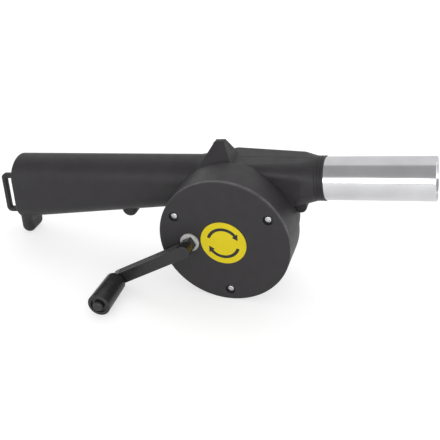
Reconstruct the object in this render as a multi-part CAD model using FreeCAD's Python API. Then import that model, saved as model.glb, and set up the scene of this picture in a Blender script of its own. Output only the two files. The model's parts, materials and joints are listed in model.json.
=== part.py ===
import FreeCAD, Part
import math
import os

# Hand cranked blower: a pistol-long handle, a round gear drum, a scroll chamber with a
# centrifugal impeller, a metal nozzle tube and a plug-in crank.
# Modelling frame: X runs along the nozzle, Y is depth with the drum cover facing -Y,
# Z is up, and the origin is on the drum axis in the parting plane of the two shells.
# At the end everything is turned and lifted so that it stands on a table: on the lowest
# line of the drum and on the tip of the finger guard.

Vec = FreeCAD.Vector
ORIGIN = Vec(0, 0, 0)

# Walls and clearances
wall = 2.2
run_gap = 0.05
seat_gap = 0.02
move_gap = 0.4

# Drum and scroll chamber
drum_radius = 37.5
drum_front = 35.0
cover_thickness = 2.4
cover_lip_depth = 1.6
drum_floor = 2.2
cover_rim_round = 0.7
lip_gap = 0.1
casing_half = 14.0
scroll_edge = 9.0
scroll_shift_x = -1.9
scroll_shift_z = -1.5

# Handle, as straight top and bottom lines between two stations
handle_half = 13.0
handle_flat = 0.4
handle_end_x = -145.2
handle_root_x = -20.0
handle_end_top = 37.4
handle_end_low = -4.7
handle_root_top = 35.7
handle_root_low = 6.7
handle_lean = math.radians(8.0)
handle_end_round = 1.0

# Finger guard at the end of the handle and finger rest under it
guard_tip_x = -144.5
guard_tip_z = -10.8
guard_tip_radius = 4.2
guard_half = 6.8
guard_top_inset = 0.1
guard_round = 3.4
guard_heel_rise = 4.5
guard_flank = 16.0
guard_heel_x = -124.5
rest_x = -69.3
rest_radius = 4.8
rest_half = 6.5
rest_drop = 4.0

# Strap loop at the end of the handle
loop_gap = 11.5
loop_bar = 3.0
loop_low = -2.6
loop_high = 24.6
loop_half = 1.7
loop_tab = 2.4
loop_tab_lip = 3.0

# Air duct and nozzle
duct_mid_x = 0.0
duct_end_x = 40.0
duct_mid_low = 4.0
duct_mid_top = 35.6
duct_end_low = 9.4
duct_end_top = 34.5
duct_mid_corner = 2.8
duct_end_corner = 8.0
inner_corner_share = 0.6
collar_x = 47.8
collar_length = 4.8
collar_radius = 12.5
collar_groove = 0.35
nozzle_z = 22.0
nozzle_radius = 12.0
nozzle_wall = 0.8
nozzle_end_x = 111.0
spigot_length = 12.0
spigot_wall = 1.8

# Screw tower on top and screw lug under the duct
peak_x = -5.6
peak_foot_x = -7.4
peak_foot_width = 20.8
peak_top_width = 5.3
peak_top_z = 45.8
peak_foot_z = 33.0
peak_foot_front = 12.0
peak_foot_rear = 7.0
peak_top_front = 2.4
peak_top_rear = 1.4
peak_round = 0.8
peak_screw_z = 40.2
peak_screw_rear = 4.0
lug_x = 38.4
lug_z = 9.4
lug_radius = 3.8
lug_half = 10.0

# Gear train
module_size = 0.8
pressure_angle = math.radians(20.0)
tooth_backlash = 0.16
tooth_addendum = 0.72
tooth_dedendum = 1.0
drive_teeth = 34
idler_small_teeth = 10
idler_large_teeth = 32
shaft_teeth = 12
drive_wall_gap = 1.28
drive_z = 0.0
drive_float = 1.6
drive_disc_width = 5.0
hub_radius = 5.4
hub_stand_out = 1.1
socket_size = 6.0
socket_depth = 12.4
socket_floor = 1.0
journal_radius = 2.0
wheel_hub_gap = 0.5
wheel_boss_gap = 0.8
pinion_wheel_lap = 1.0
pinion_bush_gap = 1.2
axle_radius = 1.5
boss_wall = 1.6
drive_boss_height = 4.0
idler_boss_height = 2.4
bush_boss_height = 0.6
bush_flange_width = 1.0
bush_flange_thickness = 0.8
cover_idler_boss = 1.4
cover_shaft_boss = 3.6
blind_floor = 1.0
washer_width = 3.0
washer_gap = 0.1
washer_float = 0.2

# Impeller
impeller_radius = 29.0
impeller_eye = 15.0
impeller_hub_radius = 5.0
impeller_front_gap = 2.2
impeller_plate = 1.6
impeller_rear_gap = 4.4
impeller_blades = 12
blade_thickness = 1.5
blade_sweep = math.radians(34.0)
clip_radius = 3.4
clip_thickness = 1.0
shaft_end = 0.8

# Air inlet in the rear wall
inlet_rings = 3
inlet_hub_radius = 4.6
inlet_slot_width = 3.6
inlet_land = 1.3
inlet_spokes = 8
inlet_spoke_width = 1.8
inlet_rim_radius = 21.4
inlet_rim_width = 1.6
inlet_rim_height = 0.8

# Label on the cover
label_hub_gap = 1.2
label_thickness = 0.3

# Screws
cover_screw_count = 3
cover_screw_inset = 6.6
cover_screw_start = math.radians(29.0)
cover_screw_head = 1.9
cover_screw_head_height = 1.0
cover_screw_head_round = 0.5
cover_screw_room = 1.0
cover_screw_shank = 1.2
cover_screw_length = 9.0
cover_screw_recess = 1.6
post_radius = 2.8
casing_screw_head = 2.7
casing_screw_head_height = 1.7
casing_screw_head_round = 0.6
casing_screw_shank = 1.3
casing_screw_length = 13.0
peak_screw_length = 5.0
casing_screw_sink = 3.4
casing_boss_radius = 3.9
handle_screw_count = 3
handle_screw_first_x = -49.0
handle_screw_pitch = -42.0
recess_share = 0.62
slot_width = 0.6
slot_depth = 0.6

# Crank
arm_length = 50.0
arm_width = 7.2
arm_thickness = 6.2
arm_groove_width = 1.1
arm_groove_depth = 0.5
stub_length = 16.0
stub_round = 1.0
grip_inner_radius = 6.0
grip_outer_radius = 6.6
grip_length = 24.0
grip_edge = 0.8
grip_dish_radius = 4.6
grip_dish_depth = 1.4
pin_radius = 2.0
pin_head_radius = 3.0
pin_head_height = 2.6
pin_head_round = 1.2
pin_inset = 0.2
rest_gap = 0.05

# Derived places
handle_corner = handle_half - handle_flat
cover_back = drum_front - cover_thickness
drum_inside = drum_radius - wall
cover_screw_ring = drum_radius - cover_screw_inset
chamber_half = casing_half - wall
drive_pitch_radius = module_size * drive_teeth / 2
idler_small_radius = module_size * idler_small_teeth / 2
idler_large_radius = module_size * idler_large_teeth / 2
shaft_pitch_radius = module_size * shaft_teeth / 2
drive_tip_radius = drive_pitch_radius + tooth_addendum
drive_x = drive_tip_radius + drive_wall_gap - drum_inside
drive_disc_front = cover_back - drive_float
label_radius = -drive_x - hub_radius - label_hub_gap
drive_to_idler = drive_pitch_radius + idler_small_radius
idler_to_shaft = idler_large_radius + shaft_pitch_radius
drive_to_shaft = math.hypot(drive_x, drive_z)
nozzle_inside = nozzle_radius - nozzle_wall
spigot_radius = nozzle_inside - seat_gap
duct_bore = spigot_radius - spigot_wall
tube_start_x = collar_x + collar_length
drive_back = drum_front + hub_stand_out - socket_depth - socket_floor
bush_radius = axle_radius + boss_wall
bush_front = casing_half + bush_boss_height + bush_flange_thickness
idler_wheel_front = drive_back - wheel_hub_gap
idler_wheel_rear = casing_half + idler_boss_height + wheel_boss_gap
pinion_front = idler_wheel_front + pinion_wheel_lap
pinion_rear = bush_front + pinion_bush_gap
impeller_front = impeller_front_gap - chamber_half
impeller_rear = chamber_half - impeller_rear_gap

# The idler sits where its two centre distances meet, below the line of the other two
along = (drive_to_idler**2 - idler_to_shaft**2 + drive_to_shaft**2) / (2 * drive_to_shaft)
across = math.sqrt(drive_to_idler**2 - along**2)
to_shaft_x = -drive_x / drive_to_shaft
to_shaft_z = -drive_z / drive_to_shaft
idler_x = drive_x + along * to_shaft_x + across * to_shaft_z
idler_z = drive_z + along * to_shaft_z - across * to_shaft_x

# The table touches the drum circle and the tip of the finger guard
guard_reach = math.hypot(guard_tip_x, guard_tip_z)
guard_angle = math.atan2(-guard_tip_z, -guard_tip_x)
tilt = math.asin((drum_radius - guard_tip_radius) / guard_reach) - guard_angle

# The scroll chamber is smaller than the drum and shifted, and touches the same table
scroll_drop = -scroll_shift_x * math.sin(tilt) - scroll_shift_z * math.cos(tilt)
scroll_radius = drum_radius - scroll_drop

# The grip of the crank rests on the same table
socket_height = drum_radius + drive_x * math.sin(tilt) + drive_z * math.cos(tilt)
arm_drop = math.asin((socket_height - grip_outer_radius - rest_gap) / arm_length)
crank_angle = math.pi + arm_drop - tilt


def handle_line(x, end_value, root_value):
    """Height of a straight handle line at the station x."""
    share = (x - handle_end_x) / (handle_root_x - handle_end_x)
    return end_value + share * (root_value - end_value)


def handle_low(x):
    return handle_line(x, handle_end_low, handle_root_low)


def handle_middle(x):
    return (handle_low(x) + handle_line(x, handle_end_top, handle_root_top)) / 2


def rod(radius, y_from, y_to, x=0.0, z=0.0):
    """Round bar along Y between two depths."""
    start = Vec(x, min(y_from, y_to), z)
    return Part.makeCylinder(radius, abs(y_to - y_from), start, Vec(0, 1, 0))


def tube(outer, inner, y_from, y_to, x=0.0, z=0.0):
    return rod(outer, y_from, y_to, x, z).cut(rod(inner, y_from, y_to, x, z))


def pipe(outer, inner, x_from, x_to):
    """Round pipe along X on the nozzle axis."""
    start = Vec(x_from, 0, nozzle_z)
    shape = Part.makeCylinder(outer, x_to - x_from, start, Vec(1, 0, 0))
    return shape.cut(Part.makeCylinder(inner, x_to - x_from, start, Vec(1, 0, 0)))


def block(x_from, x_to, y_from, y_to, z_from, z_to):
    size = (x_to - x_from, y_to - y_from, z_to - z_from)
    return Part.makeBox(*size, Vec(x_from, y_from, z_from))


def slab(edges, y_from, y_to):
    """Outline of edges in the XZ plane, given depth along Y."""
    face = Part.Face(Part.Wire(Part.__sortEdges__(edges)))
    face.translate(Vec(0, y_from, 0))
    return face.extrude(Vec(0, y_to - y_from, 0))


def lines(points):
    """Straight edges through points (x, z), closed."""
    corners = [Vec(x, 0, z) for x, z in points]
    return [Part.makeLine(a, b) for a, b in zip(corners, corners[1:] + corners[:1])]


def polar(radius, angle, x=0.0, z=0.0):
    return (x + radius * math.cos(angle), z + radius * math.sin(angle))


def turned(shape, angle, x=0.0, z=0.0):
    """Turn a shape in the XZ plane, counting from +X towards +Z."""
    copy = shape.copy()
    copy.rotate(Vec(x, 0, z), Vec(0, -1, 0), math.degrees(angle))
    return copy


def fused(shapes):
    return shapes[0].multiFuse(shapes[1:]).removeSplitter()


def edges_near(shape, test):
    """Edges whose middle point passes a test."""
    chosen = []
    for edge in shape.Edges:
        middle = edge.valueAt((edge.FirstParameter + edge.LastParameter) / 2)
        if test(middle):
            chosen.append(edge)
    return chosen


def section_wire(half, low, top, corner, at):
    """Rounded rectangle in the YZ plane of a station; at() gives the 3-D place."""
    centres = [(half - corner, top - corner), (corner - half, top - corner)]
    centres += [(corner - half, low + corner), (half - corner, low + corner)]
    edges = []
    last = None
    first = None
    for turn, (cy, cz) in enumerate(centres):
        ends = []
        for step in range(3):
            angle = math.pi / 2 * (turn + step / 2)
            ends.append(at(cy + corner * math.cos(angle), cz + corner * math.sin(angle)))
        if last:
            edges.append(Part.makeLine(last, ends[0]))
        else:
            first = ends[0]
        edges.append(Part.Arc(*ends).toShape())
        last = ends[2]
    edges.append(Part.makeLine(last, first))
    return Part.Wire(edges)


def round_wire(radius, x):
    """Circle around the nozzle axis, cut to match the eight edges of a section."""
    edges = []
    corner_span = math.radians(50)
    side_span = math.radians(40)
    angle = math.radians(20)
    for turn in range(4):
        for span in (corner_span, side_span):
            ends = []
            for share in (0, 0.5, 1):
                here = angle + span * share
                ends.append(Vec(x, radius * math.cos(here), nozzle_z + radius * math.sin(here)))
            edges.append(Part.Arc(*ends).toShape())
            angle += span
    return Part.Wire(edges)


def handle_form(inset):
    """Tapered handle with rounded corners; the end leans by handle_lean."""
    half = handle_half - inset
    corner = handle_corner - inset
    end_x = handle_end_x + inset

    def at_end(y, z):
        return Vec(end_x + z * math.tan(handle_lean), y, z)

    def at_root(y, z):
        return Vec(handle_root_x, y, z)

    low = handle_end_low + inset
    top = handle_end_top - inset
    end = section_wire(half, low, top, corner, at_end)
    root = section_wire(half, handle_root_low + inset, handle_root_top - inset, corner, at_root)
    form = Part.makeLoft([end, root], True, True)
    if inset:
        return form
    limit = handle_root_x - handle_corner
    rim = edges_near(form, lambda p: p.x < limit and abs(p.x - at_end(0, p.z).x) < 0.01)
    return form.makeFillet(handle_end_round, rim)


def guard_form():
    """Finger guard: a hooked rib that runs down from the end of the handle."""
    heel = Vec(guard_heel_x, 0, handle_low(guard_heel_x) + guard_heel_rise)
    inner = Vec(guard_tip_x + guard_tip_radius, 0, guard_tip_z)
    foot = Vec(guard_tip_x, 0, guard_tip_z - guard_tip_radius)
    run = heel.x - inner.x
    rise = heel.z - inner.z
    bend_radius = (run**2 + rise**2) / (2 * run)
    halfway = (math.pi + math.atan2(rise, run - bend_radius)) / 2
    bend_x, bend_z = polar(bend_radius, halfway, inner.x + bend_radius, inner.z)
    bend = Vec(bend_x, 0, bend_z)
    inside = Vec(heel.x + guard_flank, 0, handle_low(heel.x) + handle_corner)
    back = Vec(handle_end_x + inside.z * math.tan(handle_lean) + wall / 2, 0, inside.z)
    back_run = back.x - guard_tip_x
    back_rise = back.z - guard_tip_z
    touch = math.atan2(back_rise, back_run) + math.acos(guard_tip_radius / math.hypot(back_run, back_rise))
    outer_x, outer_z = polar(guard_tip_radius, touch, guard_tip_x, guard_tip_z)
    outer = Vec(outer_x, 0, outer_z)
    edges = [Part.Arc(outer, foot, inner).toShape()]
    edges.append(Part.Arc(inner, bend, heel).toShape())
    edges.append(Part.makeLine(heel, inside))
    edges.append(Part.makeLine(inside, back))
    edges.append(Part.makeLine(back, outer))
    form = slab(edges, -handle_half, handle_half)
    top_half = handle_half - guard_top_inset
    widening = (top_half - guard_half) / (inside.z - foot.z)
    sides = [(-top_half, inside.z), (top_half, inside.z), (guard_half, foot.z), (-guard_half, foot.z)]
    corners = [Vec(guard_tip_x - handle_half, y, z) for y, z in sides]
    taper = Part.Face(Part.makePolygon(corners + corners[:1]))
    form = form.common(taper.extrude(Vec(inside.x - guard_tip_x + handle_half, 0, 0)))

    def on_side(p):
        return abs(abs(p.y) - guard_half - (p.z - foot.z) * widening) < 0.01

    rims = edges_near(form, lambda p: on_side(p) and p.z < heel.z - 0.5)
    return form.makeFillet(guard_round, rims)


def finger_rest():
    """Small round-ended stud under the handle."""
    low = handle_low(rest_x) - rest_drop
    edges = [Part.Arc(Vec(rest_x - rest_radius, 0, low + rest_radius),
                      Vec(rest_x, 0, low),
                      Vec(rest_x + rest_radius, 0, low + rest_radius)).toShape()]
    high = handle_middle(rest_x)
    edges.append(Part.makeLine(Vec(rest_x + rest_radius, 0, low + rest_radius),
                               Vec(rest_x + rest_radius, 0, high)))
    edges.append(Part.makeLine(Vec(rest_x + rest_radius, 0, high),
                               Vec(rest_x - rest_radius, 0, high)))
    edges.append(Part.makeLine(Vec(rest_x - rest_radius, 0, high),
                               Vec(rest_x - rest_radius, 0, low + rest_radius)))
    form = slab(edges, -rest_half, rest_half)
    rims = edges_near(form, lambda p: abs(abs(p.y) - rest_half) < 0.01 and p.z < low + 1)
    return form.makeFillet(rest_radius / 2, rims)


def scroll_form(inset):
    """Round scroll chamber; its rear edge is well rounded, inside as outside."""
    rear = casing_half - inset
    form = rod(scroll_radius - inset, -rear, rear, scroll_shift_x, scroll_shift_z)
    return form.makeFillet(scroll_edge - inset, edges_near(form, lambda p: p.y > rear - 0.01))


def duct_form(inset):
    """Duct that grows out of the handle's root and turns round at the nozzle collar.

    Its hollow starts at the middle station, so the handle's own hollow stays apart.
    """
    half = casing_half - inset

    def at(x):
        return lambda y, z: Vec(x, y, z)

    middle = section_wire(half, duct_mid_low + inset, duct_mid_top - inset,
                          duct_mid_corner - inset * inner_corner_share, at(duct_mid_x))
    end = section_wire(half, duct_end_low + inset, duct_end_top - inset,
                       duct_end_corner - inset * inner_corner_share, at(duct_end_x))
    mouth = round_wire(duct_bore if inset else collar_radius, collar_x)
    form = Part.makeLoft([middle, end], True, True).fuse(Part.makeLoft([end, mouth], True, True))
    if inset:
        return form
    root = section_wire(handle_half, handle_root_low, handle_root_top, handle_corner,
                        at(handle_root_x))
    return form.fuse(Part.makeLoft([root, middle], True, True))


def peak_form():
    """Tapered screw tower on top of the casing, wide at its foot."""
    foot = (peak_foot_x, peak_foot_width, peak_foot_front, peak_foot_rear, peak_foot_z)
    top = (peak_x, peak_top_width, peak_top_front, peak_top_rear, peak_top_z)
    sections = []
    for centre, width, front, rear, z in (foot, top):
        corners = [Vec(centre - width / 2, -front, z), Vec(centre + width / 2, -front, z)]
        corners += [Vec(centre + width / 2, rear, z), Vec(centre - width / 2, rear, z)]
        sections.append(Part.makePolygon(corners + corners[:1]))
    form = Part.makeLoft(sections, True, True)
    return form.makeFillet(peak_round, edges_near(form, lambda p: p.z > peak_top_z - 0.01))


def lug_form():
    web = block(lug_x - 2 * lug_radius, lug_x, -lug_half, lug_half, lug_z, lug_z + lug_radius)
    return rod(lug_radius, -lug_half, lug_half, lug_x, lug_z).fuse(web)


def spigot_form():
    return pipe(spigot_radius, duct_bore, collar_x - wall, tube_start_x + spigot_length)


def loop_form(grow):
    """Strap loop with a tab that is trapped behind the end wall of the handle."""
    def at(offset, z):
        return (handle_end_x + z * math.tan(handle_lean) + offset, z)

    outside = -(loop_gap + loop_bar) - grow
    inside = wall + loop_tab + grow
    low = loop_low - grow
    high = loop_high + grow
    half = loop_half + grow
    frame = slab(lines([at(outside, low), at(wall, low), at(wall, high), at(outside, high)]),
                 -half, half)
    corner = edges_near(frame, lambda p: abs(p.y) < 0.01 and p.x < at(0, p.z)[0] - loop_gap)
    frame = frame.makeFillet(loop_bar, corner)
    tab_top = high + loop_tab_lip
    tab = slab(lines([at(wall - seat_gap, low), at(inside, low),
                      at(inside, tab_top), at(wall - seat_gap, tab_top)]),
               -half - loop_tab_lip, half + loop_tab_lip)
    hole_low = loop_low + loop_bar + grow
    hole_high = loop_high - loop_bar - grow
    hole = slab(lines([at(-loop_gap + grow, hole_low), at(-grow, hole_low),
                       at(-grow, hole_high), at(-loop_gap + grow, hole_high)]),
                -2 * half, 2 * half)
    return frame.fuse(tab).cut(hole).removeSplitter()


def outer_form():
    shapes = [handle_form(0.0), guard_form(), finger_rest(), scroll_form(0.0), duct_form(0.0)]
    shapes += [peak_form(), lug_form(), spigot_form()]
    return fused(shapes)


def inner_form():
    """The hollows: handle, scroll chamber and duct down to the spigot bore."""
    handle = handle_form(wall).cut(scroll_form(0.0))
    bore_start = Vec(collar_x, 0, nozzle_z)
    bore = Part.makeCylinder(duct_bore, nozzle_end_x - collar_x, bore_start, Vec(1, 0, 0))
    return [handle, scroll_form(wall), duct_form(wall), bore]


def casing_screw_places():
    """(x, z, depth of the rear face, length) of every screw that joins the two shells."""
    places = [(peak_x, peak_screw_z, peak_screw_rear, peak_screw_length)]
    places.append((lug_x, lug_z, lug_half, casing_screw_length))
    for number in range(handle_screw_count):
        x = handle_screw_first_x + number * handle_screw_pitch
        places.append((x, handle_middle(x), handle_half, casing_screw_length))
    return places


def cover_screw_places():
    step = 2 * math.pi / cover_screw_count
    return [polar(cover_screw_ring, cover_screw_start + n * step)
            for n in range(cover_screw_count)]


def half_space(front):
    reach = 400
    y_from, y_to = (-reach, 0) if front else (0, reach)
    return block(-reach, reach, y_from, y_to, -reach, reach)


def bearing_boss(x, z, radius, height):
    return rod(radius, -casing_half - height, -casing_half + wall / 2, x, z)


def shell_half(front):
    body = outer_form().common(half_space(front))
    for hollow in inner_form():
        body = body.cut(hollow)
    return body


def front_shell():
    body = shell_half(True)
    added = [tube(drum_radius, drum_inside, -cover_back, -casing_half)]
    floor = rod(drum_radius, -casing_half, drum_floor - casing_half)
    added.append(floor.cut(scroll_form(wall)))
    for x, z in cover_screw_places():
        added.append(rod(post_radius, -cover_back, -casing_half + wall / 2, x, z))
    added.append(bearing_boss(drive_x, drive_z, journal_radius + boss_wall, drive_boss_height))
    added.append(bearing_boss(idler_x, idler_z, axle_radius + boss_wall, idler_boss_height))
    added.append(bearing_boss(0, 0, bush_radius + boss_wall, bush_boss_height))
    for x, z, rear, length in casing_screw_places():
        if rear == handle_half:
            post = rod(casing_boss_radius, -rear + wall / 2, 0, x, z)
            added.append(post)
    body = fused([body] + added)
    holes = []
    for x, z in cover_screw_places():
        holes.append(rod(cover_screw_shank + seat_gap, -cover_back,
                         -cover_back + cover_screw_length, x, z))
    blind_end = wall - blind_floor - casing_half
    holes.append(rod(journal_radius + run_gap, -cover_back, blind_end, drive_x, drive_z))
    holes.append(rod(axle_radius + seat_gap, -cover_back, blind_end, idler_x, idler_z))
    holes.append(rod(bush_radius + seat_gap, -cover_back, -chamber_half + 1))
    holes.append(rod(drive_tip_radius + move_gap, -cover_back,
                     drive_disc_width + move_gap - drive_disc_front, drive_x, drive_z))
    for x, z, rear, length in casing_screw_places():
        head_seat = rear - casing_screw_sink
        holes.append(rod(casing_screw_shank + seat_gap, head_seat - length - move_gap, 1, x, z))
    holes.append(loop_form(seat_gap))
    for hole in holes:
        body = body.cut(hole)
    return body


def inlet_slots():
    """Arc slots in rings around the impeller axis, parted by straight spokes."""
    cutters = []
    for number in range(inlet_rings):
        low = inlet_hub_radius + number * (inlet_slot_width + inlet_land)
        cutters.append(tube(low + inlet_slot_width, low, chamber_half - 1, casing_half + 1))
    cutter = Part.makeCompound(cutters)
    reach = inlet_hub_radius + inlet_rings * (inlet_slot_width + inlet_land)
    half = inlet_spoke_width / 2
    for number in range(inlet_spokes):
        spoke = block(0, reach, chamber_half - 2, casing_half + 2, -half, half)
        cutter = cutter.cut(turned(spoke, 2 * math.pi * number / inlet_spokes))
    return cutter


def rear_shell():
    body = shell_half(False)
    added = [tube(inlet_rim_radius, inlet_rim_radius - inlet_rim_width,
                  casing_half - wall / 2, casing_half + inlet_rim_height)]
    for x, z, rear, length in casing_screw_places():
        if rear == handle_half:
            added.append(rod(casing_boss_radius, 0, rear - wall / 2, x, z))
    body = fused([body] + added)
    holes = [inlet_slots(), loop_form(seat_gap)]
    for x, z, rear, length in casing_screw_places():
        head_seat = rear - casing_screw_sink
        holes.append(rod(casing_screw_shank + seat_gap, -1, head_seat + 1, x, z))
        holes.append(rod(casing_screw_head + move_gap, head_seat, casing_half + 1, x, z))
    for hole in holes:
        body = body.cut(hole)
    return body


def drum_cover():
    """Flat disc that closes the drum, with a lip inside and bearings behind."""
    disc = rod(drum_radius, -drum_front, -cover_back)
    rim = edges_near(disc, lambda p: p.y < -drum_front + 0.01)
    disc = disc.makeFillet(cover_rim_round, rim)
    lip = tube(drum_inside - lip_gap, drum_inside - wall, -cover_back - 0.5,
               -cover_back + cover_lip_depth)
    for x, z in cover_screw_places():
        lip = lip.cut(rod(post_radius + move_gap, -cover_back, -casing_half, x, z))
    idler_boss = rod(axle_radius + boss_wall, -cover_back - 0.5,
                     -cover_back + cover_idler_boss, idler_x, idler_z)
    shaft_boss = rod(axle_radius + boss_wall, -cover_back - 0.5, -cover_back + cover_shaft_boss)
    body = fused([disc, lip, idler_boss, shaft_boss])
    holes = [rod(hub_radius + run_gap, -drum_front - 1, -casing_half, drive_x, drive_z)]
    bore_front = -drum_front + blind_floor
    holes.append(rod(axle_radius + seat_gap, bore_front, -casing_half, idler_x, idler_z))
    holes.append(rod(axle_radius + run_gap, bore_front, -casing_half))
    for x, z in cover_screw_places():
        holes.append(rod(cover_screw_shank + seat_gap, -drum_front - 1, -casing_half, x, z))
        holes.append(rod(cover_screw_head + cover_screw_room, -drum_front - 1,
                         -drum_front + cover_screw_recess, x, z))
    for hole in holes:
        body = body.cut(hole)
    return body


def cross_recess(radius, y, sign):
    """Cross-shaped driver recess sunk into a screw head along Y."""
    inward = y + sign * slot_depth
    half = slot_width / 2
    y_from = min(y - sign, inward)
    y_to = max(y - sign, inward)
    first = block(-radius, radius, y_from, y_to, -half, half)
    second = block(-half, half, y_from, y_to, -radius, radius)
    return first.fuse(second)


def cover_screws():
    seat = -drum_front + cover_screw_recess
    top = seat - cover_screw_head_height
    solids = []
    for x, z in cover_screw_places():
        head = rod(cover_screw_head, top, seat)
        front_rim = edges_near(head, lambda p: p.y < top + 0.01)
        head = head.makeFillet(cover_screw_head_round, front_rim)
        shank = rod(cover_screw_shank, seat, seat + cover_screw_length)
        screw = head.fuse(shank).cut(cross_recess(cover_screw_head * recess_share, top, 1))
        screw.translate(Vec(x, 0, z))
        solids.append(screw)
    return Part.makeCompound(solids)


def casing_screws():
    solids = []
    for x, z, rear, length in casing_screw_places():
        seat = rear - casing_screw_sink
        top = seat + casing_screw_head_height
        head = rod(casing_screw_head, seat, top)
        rear_rim = edges_near(head, lambda p: p.y > top - 0.01)
        head = head.makeFillet(casing_screw_head_round, rear_rim)
        shank = rod(casing_screw_shank, seat - length, seat)
        screw = head.fuse(shank).cut(cross_recess(casing_screw_head * recess_share, top, -1))
        screw.translate(Vec(x, 0, z))
        solids.append(screw)
    return Part.makeCompound(solids)


def round_label():
    return rod(label_radius, -drum_front - label_thickness, -drum_front)


def strap_loop():
    return loop_form(0.0)


def collar_ring():
    """Stepped ring between the duct and the tube."""
    ring = pipe(collar_radius, spigot_radius + seat_gap, collar_x, tube_start_x)
    bands = 3
    pitch = collar_length / bands
    for number in range(1, bands):
        x = collar_x + number * pitch
        ring = ring.cut(pipe(collar_radius + 1, collar_radius - collar_groove,
                             x - collar_groove, x + collar_groove))
    return ring


def nozzle_tube():
    return pipe(nozzle_radius, nozzle_inside, tube_start_x, nozzle_end_x)


def involute(angle):
    return math.tan(angle) - angle


def gear_disc(teeth, y_from, y_to, x, z, phase):
    """Spur gear blank whose first tooth points along phase."""
    pitch_radius = module_size * teeth / 2
    base_radius = pitch_radius * math.cos(pressure_angle)
    tip_radius = pitch_radius + tooth_addendum
    root_radius = pitch_radius - tooth_dedendum
    flank_start = max(base_radius, root_radius)
    flank_steps = 4
    half_pitch = math.pi / (2 * teeth) - tooth_backlash / (2 * pitch_radius)
    flank = []
    for step in range(flank_steps + 1):
        radius = flank_start + (tip_radius - flank_start) * step / flank_steps
        lean = involute(math.acos(min(1.0, base_radius / radius)))
        flank.append((radius, half_pitch + involute(pressure_angle) - lean))
    flank.insert(0, (root_radius, flank[0][1]))
    points = []
    for tooth in range(teeth):
        centre = phase + 2 * math.pi * tooth / teeth
        points += [polar(radius, centre - half, x, z) for radius, half in flank]
        points += [polar(radius, centre + half, x, z) for radius, half in reversed(flank)]
    return slab(lines(points), y_from, y_to)


def drive_gear():
    to_idler = math.atan2(idler_z - drive_z, idler_x - drive_x)
    front = -drive_disc_front
    disc = gear_disc(drive_teeth, front, front + drive_disc_width, drive_x, drive_z, to_idler)
    hub = rod(hub_radius, -drum_front - hub_stand_out, -drive_back, drive_x, drive_z)
    rear = -casing_half + wall - blind_floor - move_gap
    journal = rod(journal_radius, -drive_back, rear, drive_x, drive_z)
    half = socket_size / 2
    socket = block(-half, half, -drum_front - hub_stand_out - 1,
                   -drum_front - hub_stand_out + socket_depth, -half, half)
    socket.translate(Vec(drive_x, 0, drive_z))
    socket = turned(socket, crank_angle, drive_x, drive_z)
    return fused([disc, hub, journal]).cut(socket)


def hub_washer():
    """Thin thrust washer between the drive gear and the cover."""
    return tube(hub_radius + washer_width, hub_radius + washer_gap, washer_float - cover_back,
                -drive_disc_front - washer_float, drive_x, drive_z)


def idler_gear():
    to_drive = math.atan2(drive_z - idler_z, drive_x - idler_x)
    to_shaft = math.atan2(-idler_z, -idler_x)
    small_front = -drive_disc_front + move_gap
    wheel_front = -idler_wheel_front
    wheel_rear = -idler_wheel_rear
    small = gear_disc(idler_small_teeth, small_front, wheel_front, idler_x, idler_z,
                      to_drive + math.pi / idler_small_teeth)
    wheel = gear_disc(idler_large_teeth, wheel_front, wheel_rear, idler_x, idler_z, to_shaft)
    body = fused([small, wheel])
    return body.cut(rod(axle_radius + run_gap, small_front - 1, wheel_rear + 1, idler_x, idler_z))


def idler_axle():
    front = -drum_front + blind_floor + move_gap
    rear = -casing_half + wall - blind_floor - move_gap
    return rod(axle_radius, front, rear, idler_x, idler_z)


def shaft_bush():
    """Flanged bush that carries the impeller shaft in the chamber wall."""
    seat = bush_flange_thickness - bush_front
    bush = rod(bush_radius, seat, -chamber_half)
    flange = rod(bush_radius + bush_flange_width, -bush_front, seat)
    return fused([bush, flange]).cut(rod(axle_radius + run_gap, -bush_front - 1, 0))


def shaft_pinion():
    to_idler = math.atan2(idler_z, idler_x)
    gear = gear_disc(shaft_teeth, -pinion_front, -pinion_rear, 0, 0,
                     to_idler + math.pi / shaft_teeth)
    return gear.cut(rod(axle_radius + seat_gap, -pinion_front - 1, 0))


def impeller_shaft():
    front = -drum_front + blind_floor + move_gap
    return rod(axle_radius, front, impeller_rear + clip_thickness + shaft_end)


def impeller_blade():
    """One flat blade that leans back from the eye to the rim."""
    tip = impeller_radius - blade_thickness
    foot = impeller_eye * math.cos(blade_sweep)
    length = math.sqrt(tip**2 - (impeller_eye * math.sin(blade_sweep))**2) - foot
    half = blade_thickness / 2
    blade = block(0, length, impeller_front + impeller_plate / 2, impeller_rear, -half, half)
    blade = turned(blade, blade_sweep)
    blade.translate(Vec(impeller_eye, 0, 0))
    return blade


def impeller():
    plate = rod(impeller_radius, impeller_front, impeller_front + impeller_plate)
    hub = rod(impeller_hub_radius, impeller_front, impeller_rear)
    blade = impeller_blade()
    blades = [turned(blade, 2 * math.pi * n / impeller_blades) for n in range(impeller_blades)]
    body = fused([plate, hub] + blades)
    return body.cut(rod(axle_radius + seat_gap, impeller_front - 1, impeller_rear + 1))


def impeller_clip():
    return tube(clip_radius, axle_radius + seat_gap, impeller_rear, impeller_rear + clip_thickness)


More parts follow.
